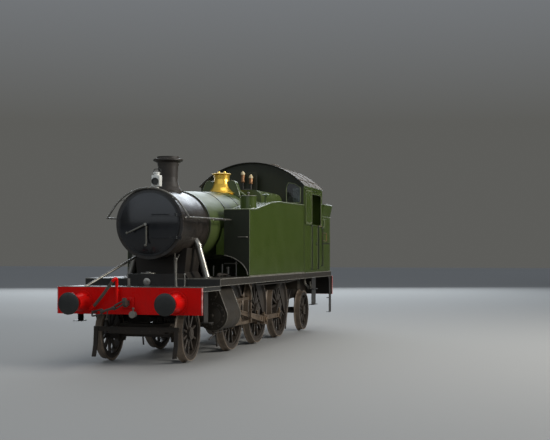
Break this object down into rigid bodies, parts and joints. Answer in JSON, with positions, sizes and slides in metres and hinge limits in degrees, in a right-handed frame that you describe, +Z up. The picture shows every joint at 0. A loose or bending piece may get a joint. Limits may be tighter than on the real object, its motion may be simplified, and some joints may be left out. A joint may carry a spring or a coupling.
{
  "type": "steam locomotive",
  "caption": "Side tank steam locomotive with a leading truck, coupled driving wheels with outside cylinders and rods, a trailing axle, cab and rear bunker.",
  "frame": {"origin": "on the longitudinal centre line, half way between the front and rear buffer faces, at the tips of the wheel flanges, 30 mm under rail level", "axes": "+X to the front, along the track; +Y to the left side; +Z up"},
  "size_m": [11.087, 2.67, 4.0798],
  "materials": {
    "green_paint": "gloss green paint with light weathering",
    "roof_paint": "dull grey paint",
    "black_paint": "black paint, oily and dusty low down",
    "red_paint": "gloss red paint",
    "bright_steel": "bright steel with a film of oil",
    "dark_iron": "dark forged iron",
    "wheel_paint": "black wheels with bright treads and brown dust",
    "polished_brass": "polished brass",
    "white_paint": "white paint",
    "hose_rubber": "dull ribbed rubber hose",
    "floor_wood": "worn boards"
  },
  "bodies": {
    "engine": {"frame_plates": "black_paint", "frame_stretchers": "black_paint", "axleboxes": "black_paint", "buffer_beam_front": "red_paint", "buffer_beam_rear": "red_paint", "buffers": "red_paint", "drawgear": "dark_iron", "vacuum_pipes": "dark_iron", "vacuum_hose_front": "hose_rubber", "vacuum_hose_rear": "hose_rubber", "running_plates": "black_paint", "front_platform": "black_paint", "cylinders": "black_paint", "saddle": "black_paint", "steam_pipes": "black_paint", "slide_bars": "bright_steel", "smokebox": "black_paint", "smokebox_front": "black_paint", "smokebox_stays": "bright_steel", "chimney": "black_paint", "boiler_barrel": "green_paint", "firebox": "green_paint", "safety_valve_bonnet": "polished_brass", "top_feed": "green_paint", "whistles": "polished_brass", "side_tanks": "green_paint", "cab_front": "green_paint", "cab_sides": "green_paint", "cab_roof": "roof_paint", "cab_back": "green_paint", "cab_floor": "floor_wood", "bunker": "green_paint", "backhead": "black_paint", "headlamp": "white_paint", "handrails": "bright_steel", "steps": "black_paint", "brake_gear": "black_paint", "sandboxes": "black_paint"},
    "truck": {"leading_truck": "black_paint"},
    "leading_axle": {"leading_wheelset": "wheel_paint"},
    "front_coupled_axle": {"front_coupled_wheelset": "wheel_paint"},
    "driving_axle": {"driving_wheelset": "wheel_paint"},
    "rear_coupled_axle": {"rear_coupled_wheelset": "wheel_paint"},
    "trailing_axle": {"trailing_wheelset": "wheel_paint"},
    "left_coupling_rod": {"coupling_rod_left": "bright_steel"},
    "right_coupling_rod": {"coupling_rod_right": "bright_steel"},
    "left_crosshead": {"crosshead_left": "bright_steel"},
    "right_crosshead": {"crosshead_right": "bright_steel"},
    "left_connecting_rod": {"connecting_rod_left": "bright_steel"},
    "right_connecting_rod": {"connecting_rod_right": "bright_steel"},
    "door": {"smokebox_door": "black_paint"},
    "left_lid": {"tank_lid_left": "green_paint"},
    "right_lid": {"tank_lid_right": "green_paint"},
    "left_cab_door": {"cab_door_left": "green_paint"},
    "right_cab_door": {"cab_door_right": "green_paint"},
    "left_shutter": {"cab_shutter_left": "green_paint"},
    "right_shutter": {"cab_shutter_right": "green_paint"}
  },
  "joints": [
    {"name": "truck_swing", "type": "hinge", "parent": "engine", "child": "truck", "pos_m": [2.5, 0, 0.51], "axis": [0, 0, 1], "range_deg": [-2.5, 2.5]},
    {"name": "leading_axle_spin", "type": "hinge", "parent": "truck", "child": "leading_axle", "pos_m": [4.12, 0, 0.5125], "axis": [0, 1, 0], "continuous": true},
    {"name": "driving_axle_spin", "type": "hinge", "parent": "engine", "child": "driving_axle", "pos_m": [0.005, 0, 0.735], "axis": [0, 1, 0], "continuous": true},
    {"name": "front_coupled_axle_spin", "type": "hinge", "parent": "engine", "child": "front_coupled_axle", "pos_m": [1.758, 0, 0.735], "axis": [0, 1, 0], "continuous": true},
    {"name": "rear_coupled_axle_spin", "type": "hinge", "parent": "engine", "child": "rear_coupled_axle", "pos_m": [-1.748, 0, 0.735], "axis": [0, 1, 0], "continuous": true},
    {"name": "trailing_axle_spin", "type": "hinge", "parent": "engine", "child": "trailing_axle", "pos_m": [-4.059, 0, 0.5125], "axis": [0, 1, 0], "continuous": true},
    {"name": "left_coupling_rod_swing", "type": "hinge", "parent": "driving_axle", "child": "left_coupling_rod", "pos_m": [0.23864, 0.87, 0.53895], "axis": [0, 1, 0], "continuous": true},
    {"name": "right_coupling_rod_swing", "type": "hinge", "parent": "driving_axle", "child": "right_coupling_rod", "pos_m": [-0.19105, -0.87, 0.50136], "axis": [0, 1, 0], "continuous": true},
    {"name": "left_crosshead_slide", "type": "slide", "parent": "engine", "child": "left_crosshead", "axis": [1, 0, 0], "range_m": [-0.5221, 0.0883]},
    {"name": "right_crosshead_slide", "type": "slide", "parent": "engine", "child": "right_crosshead", "axis": [1, 0, 0], "range_m": [-0.0868, 0.5235]},
    {"name": "left_connecting_rod_swing", "type": "hinge", "parent": "left_crosshead", "child": "left_connecting_rod", "pos_m": [2.12581, 1.022, 0.799], "axis": [0, 1, 0], "range_deg": [-3.32, 15.11]},
    {"name": "right_connecting_rod_swing", "type": "hinge", "parent": "right_crosshead", "child": "right_connecting_rod", "pos_m": [1.69055, -1.022, 0.799], "axis": [0, 1, 0], "range_deg": [-2.18, 16.26]},
    {"name": "smokebox_door_swing", "type": "hinge", "parent": "engine", "child": "door", "pos_m": [4.122, 0.612, 2.47], "axis": [0, 0, 1], "range_deg": [0, 100]},
    {"name": "left_lid_lift", "type": "hinge", "parent": "engine", "child": "left_lid", "pos_m": [1.113, 1.01, 3.078], "axis": [0, -1, 0], "range_deg": [0, 100]},
    {"name": "right_lid_lift", "type": "hinge", "parent": "engine", "child": "right_lid", "pos_m": [1.113, -1.01, 3.078], "axis": [0, -1, 0], "range_deg": [0, 100]},
    {"name": "left_cab_door_swing", "type": "hinge", "parent": "engine", "child": "left_cab_door", "pos_m": [-2.984, 1.254, 2.07], "axis": [0, 0, 1], "range_deg": [0, 90]},
    {"name": "right_cab_door_swing", "type": "hinge", "parent": "engine", "child": "right_cab_door", "pos_m": [-2.984, -1.254, 2.07], "axis": [0, 0, -1], "range_deg": [0, 90]},
    {"name": "left_shutter_slide", "type": "slide", "parent": "engine", "child": "left_shutter", "axis": [-1, 0, 0], "range_m": [0, 0.62]},
    {"name": "right_shutter_slide", "type": "slide", "parent": "engine", "child": "right_shutter", "axis": [-1, 0, 0], "range_m": [0, 0.62]}
  ],
  "couplings": [
    {"joint": "front_coupled_axle_spin", "follows": "driving_axle_spin", "ratio": 1},
    {"joint": "rear_coupled_axle_spin", "follows": "driving_axle_spin", "ratio": 1},
    {"joint": "left_coupling_rod_swing", "follows": "driving_axle_spin", "ratio": -1},
    {"joint": "right_coupling_rod_swing", "follows": "driving_axle_spin", "ratio": -1}
  ]
}
